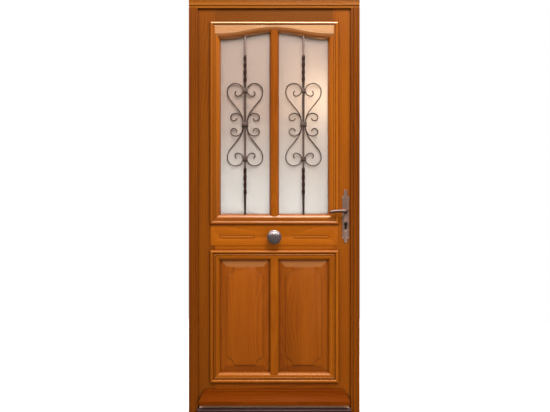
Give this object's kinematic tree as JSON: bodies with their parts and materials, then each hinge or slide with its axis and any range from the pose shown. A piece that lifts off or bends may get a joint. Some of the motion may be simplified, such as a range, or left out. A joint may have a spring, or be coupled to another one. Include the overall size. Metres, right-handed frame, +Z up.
{
  "type": "glazed wooden entrance door with frame",
  "caption": "Varnished wooden single-leaf entrance door in its frame, arched glazed top with wrought-iron scroll grilles, raised panels below, pull knob and lever handles.",
  "frame": {"origin": "on the floor under the threshold, at mid-width and mid-depth of the frame", "axes": "+X along the width towards the lock side, -Y towards the outside, +Z up"},
  "size_m": [0.9, 0.1649, 2.18],
  "materials": {
    "frame_wood": "varnished, glossy satin",
    "leaf_wood": "varnished, glossy satin",
    "moulding_wood": "varnished, glossy satin",
    "panel_wood": "varnished, glossy satin",
    "frosted_glass": "frosted",
    "wrought_iron": "hand-forged, satin black brown",
    "knob_metal": "hammered, polished high spots",
    "rose_metal": "dark",
    "aged_bronze": "aged",
    "threshold_bronze": "bronze anodised",
    "aluminium": "mill",
    "rubber_seal": "matt",
    "brass": "satin",
    "steel": "zinc plated"
  },
  "bodies": {
    "frame": {"jamb_hinge_side": "frame_wood", "jamb_lock_side": "frame_wood", "head": "frame_wood", "threshold": "threshold_bronze", "threshold_lip": "aluminium", "frame_seal": "rubber_seal", "strike_plate": "steel", "frame_screws": "steel", "hinge_frame_flap_bottom": "brass", "hinge_frame_flap_middle": "brass", "hinge_frame_flap_top": "brass", "hinge_pins": "steel", "hinge_washers": "brass"},
    "leaf": {"stile_hinge_side": "leaf_wood", "stile_lock_side": "leaf_wood", "top_rail": "leaf_wood", "lock_rail": "leaf_wood", "bottom_rail": "leaf_wood", "muntin_upper": "moulding_wood", "muntin_lower": "moulding_wood", "panel_left": "panel_wood", "panel_right": "panel_wood", "glass_left": "frosted_glass", "glass_right": "frosted_glass", "glass_spacers": "aluminium", "moulding_upper_bottom": "moulding_wood", "moulding_upper_left": "moulding_wood", "moulding_upper_right": "moulding_wood", "moulding_upper_top": "moulding_wood", "moulding_lower_bottom": "moulding_wood", "moulding_lower_left": "moulding_wood", "moulding_lower_right": "moulding_wood", "moulding_lower_top": "moulding_wood", "weather_bar": "leaf_wood", "inside_beads_upper": "moulding_wood", "inside_beads_lower": "moulding_wood", "grille_left": "wrought_iron", "grille_right": "wrought_iron", "pull_knob": "knob_metal", "knob_rose": "rose_metal", "knob_bolt": "brass", "lock_case": "steel", "lock_faceplate": "brass", "cylinder_body": "brass", "handle_plate_outside": "aged_bronze", "handle_plate_inside": "aged_bronze", "handle_plate_screws": "steel", "hinge_leaf_flap_bottom": "brass", "hinge_leaf_flap_middle": "brass", "hinge_leaf_flap_top": "brass", "leaf_screws": "steel", "bottom_seal": "rubber_seal"},
    "levers": {"lever_outside": "aged_bronze", "lever_inside": "aged_bronze", "spindle": "steel", "lock_follower": "steel"},
    "latch": {"latch_bolt": "steel"},
    "deadbolt": {"dead_bolt": "steel"},
    "plug": {"cylinder_plug": "steel"}
  },
  "joints": [
    {"name": "door_swing", "type": "hinge", "parent": "frame", "child": "leaf", "pos_m": [-0.418, 0.046, 1.09], "axis": [0, 0, 1], "range_deg": [0, 100]},
    {"name": "lever_turn", "type": "hinge", "parent": "leaf", "child": "levers", "pos_m": [0.378, 0, 1.063], "axis": [0, -1, 0], "range_deg": [0, 38], "stiffness_Nm_per_rad": 1.5, "springref_deg": -20.05},
    {"name": "latch_slide", "type": "slide", "parent": "leaf", "child": "latch", "axis": [-1, 0, 0], "range_m": [0, 0.012]},
    {"name": "cylinder_turn", "type": "hinge", "parent": "leaf", "child": "plug", "pos_m": [0.378, 0, 0.993], "axis": [0, -1, 0], "range_deg": [0, 360]},
    {"name": "dead_bolt_slide", "type": "slide", "parent": "leaf", "child": "deadbolt", "axis": [1, 0, 0], "range_m": [0, 0.02]}
  ],
  "couplings": [
    {"joint": "latch_slide", "follows": "lever_turn", "m_per_rad": 0.01809},
    {"joint": "cylinder_turn", "follows": "dead_bolt_slide", "rad_per_m": 314.1}
  ]
}
